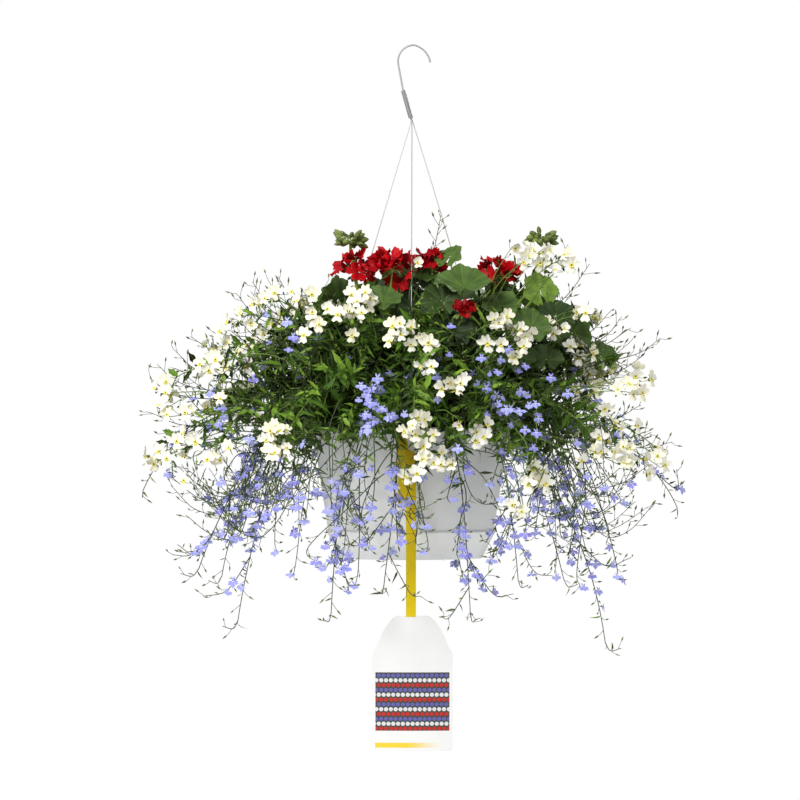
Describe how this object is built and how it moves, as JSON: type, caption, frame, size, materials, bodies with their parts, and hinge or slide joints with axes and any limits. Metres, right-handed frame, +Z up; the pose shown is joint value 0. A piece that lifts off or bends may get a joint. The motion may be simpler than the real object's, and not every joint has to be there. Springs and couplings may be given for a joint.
{
  "type": "flower hanging basket",
  "caption": "Planted hanging basket: plastic pot with drip saucer on a rigid wire hanger with a hook, trailing flowers and leaves all round, plain hang tag.",
  "frame": {"origin": "inside top of the hook, where the basket hangs", "axes": "+Z up; +X to the right as seen from the front, where the plant tag hangs; +Y to the back"},
  "size_m": [0.7986, 0.73, 1.0498],
  "materials": {
    "galvanised_steel": "satin",
    "pot_plastic": "semi-gloss, pale blue-grey white",
    "potting_mix": "matte, crumbly",
    "tag_plastic": "printed sheet, satin",
    "geranium_leaf": "matte, slightly velvety",
    "geranium_petal": "matte",
    "foliage": "satin leaf green",
    "nemesia_petal": "matte",
    "lobelia_petal": "matte"
  },
  "bodies": {
    "root": {"geranium_head_1_1": "geranium_petal", "geranium_head_1_2": "geranium_petal", "geranium_head_2_1": "geranium_petal", "geranium_head_2_2": "geranium_petal", "geranium_head_3_1": "geranium_petal", "geranium_head_5_1": "geranium_petal", "geranium_stem_1": "geranium_leaf", "geranium_stem_2": "geranium_leaf", "geranium_stem_3": "geranium_leaf", "geranium_stem_4": "geranium_leaf", "geranium_stem_5": "geranium_leaf", "hook": "galvanised_steel", "lobelia_spray_1": "foliage", "lobelia_spray_10": "foliage", "lobelia_spray_11": "foliage", "lobelia_spray_12": "foliage", "lobelia_spray_13": "foliage", "lobelia_spray_14": "foliage", "lobelia_spray_15": "foliage", "lobelia_spray_16": "foliage", "lobelia_spray_2": "foliage", "lobelia_spray_3": "foliage", "lobelia_spray_4": "foliage", "lobelia_spray_5": "foliage", "lobelia_spray_6": "foliage", "lobelia_spray_7": "foliage", "lobelia_spray_8": "foliage", "lobelia_spray_9": "foliage", "nemesia_spray_1": "foliage", "nemesia_spray_10": "foliage", "nemesia_spray_11": "foliage", "nemesia_spray_12": "foliage", "nemesia_spray_13": "foliage", "nemesia_spray_14": "foliage", "nemesia_spray_15": "foliage", "nemesia_spray_16": "foliage", "nemesia_spray_2": "foliage", "nemesia_spray_3": "foliage", "nemesia_spray_4": "foliage", "nemesia_spray_5": "foliage", "nemesia_spray_6": "foliage", "nemesia_spray_7": "foliage", "nemesia_spray_8": "foliage", "nemesia_spray_9": "foliage", "plant_tag": "tag_plastic", "pot": "pot_plastic", "potting_mix": "potting_mix", "saucer": "pot_plastic", "sleeve": "galvanised_steel", "wire_front": "galvanised_steel", "wire_left": "galvanised_steel", "wire_right": "galvanised_steel"}
  },
  "joints": []
}
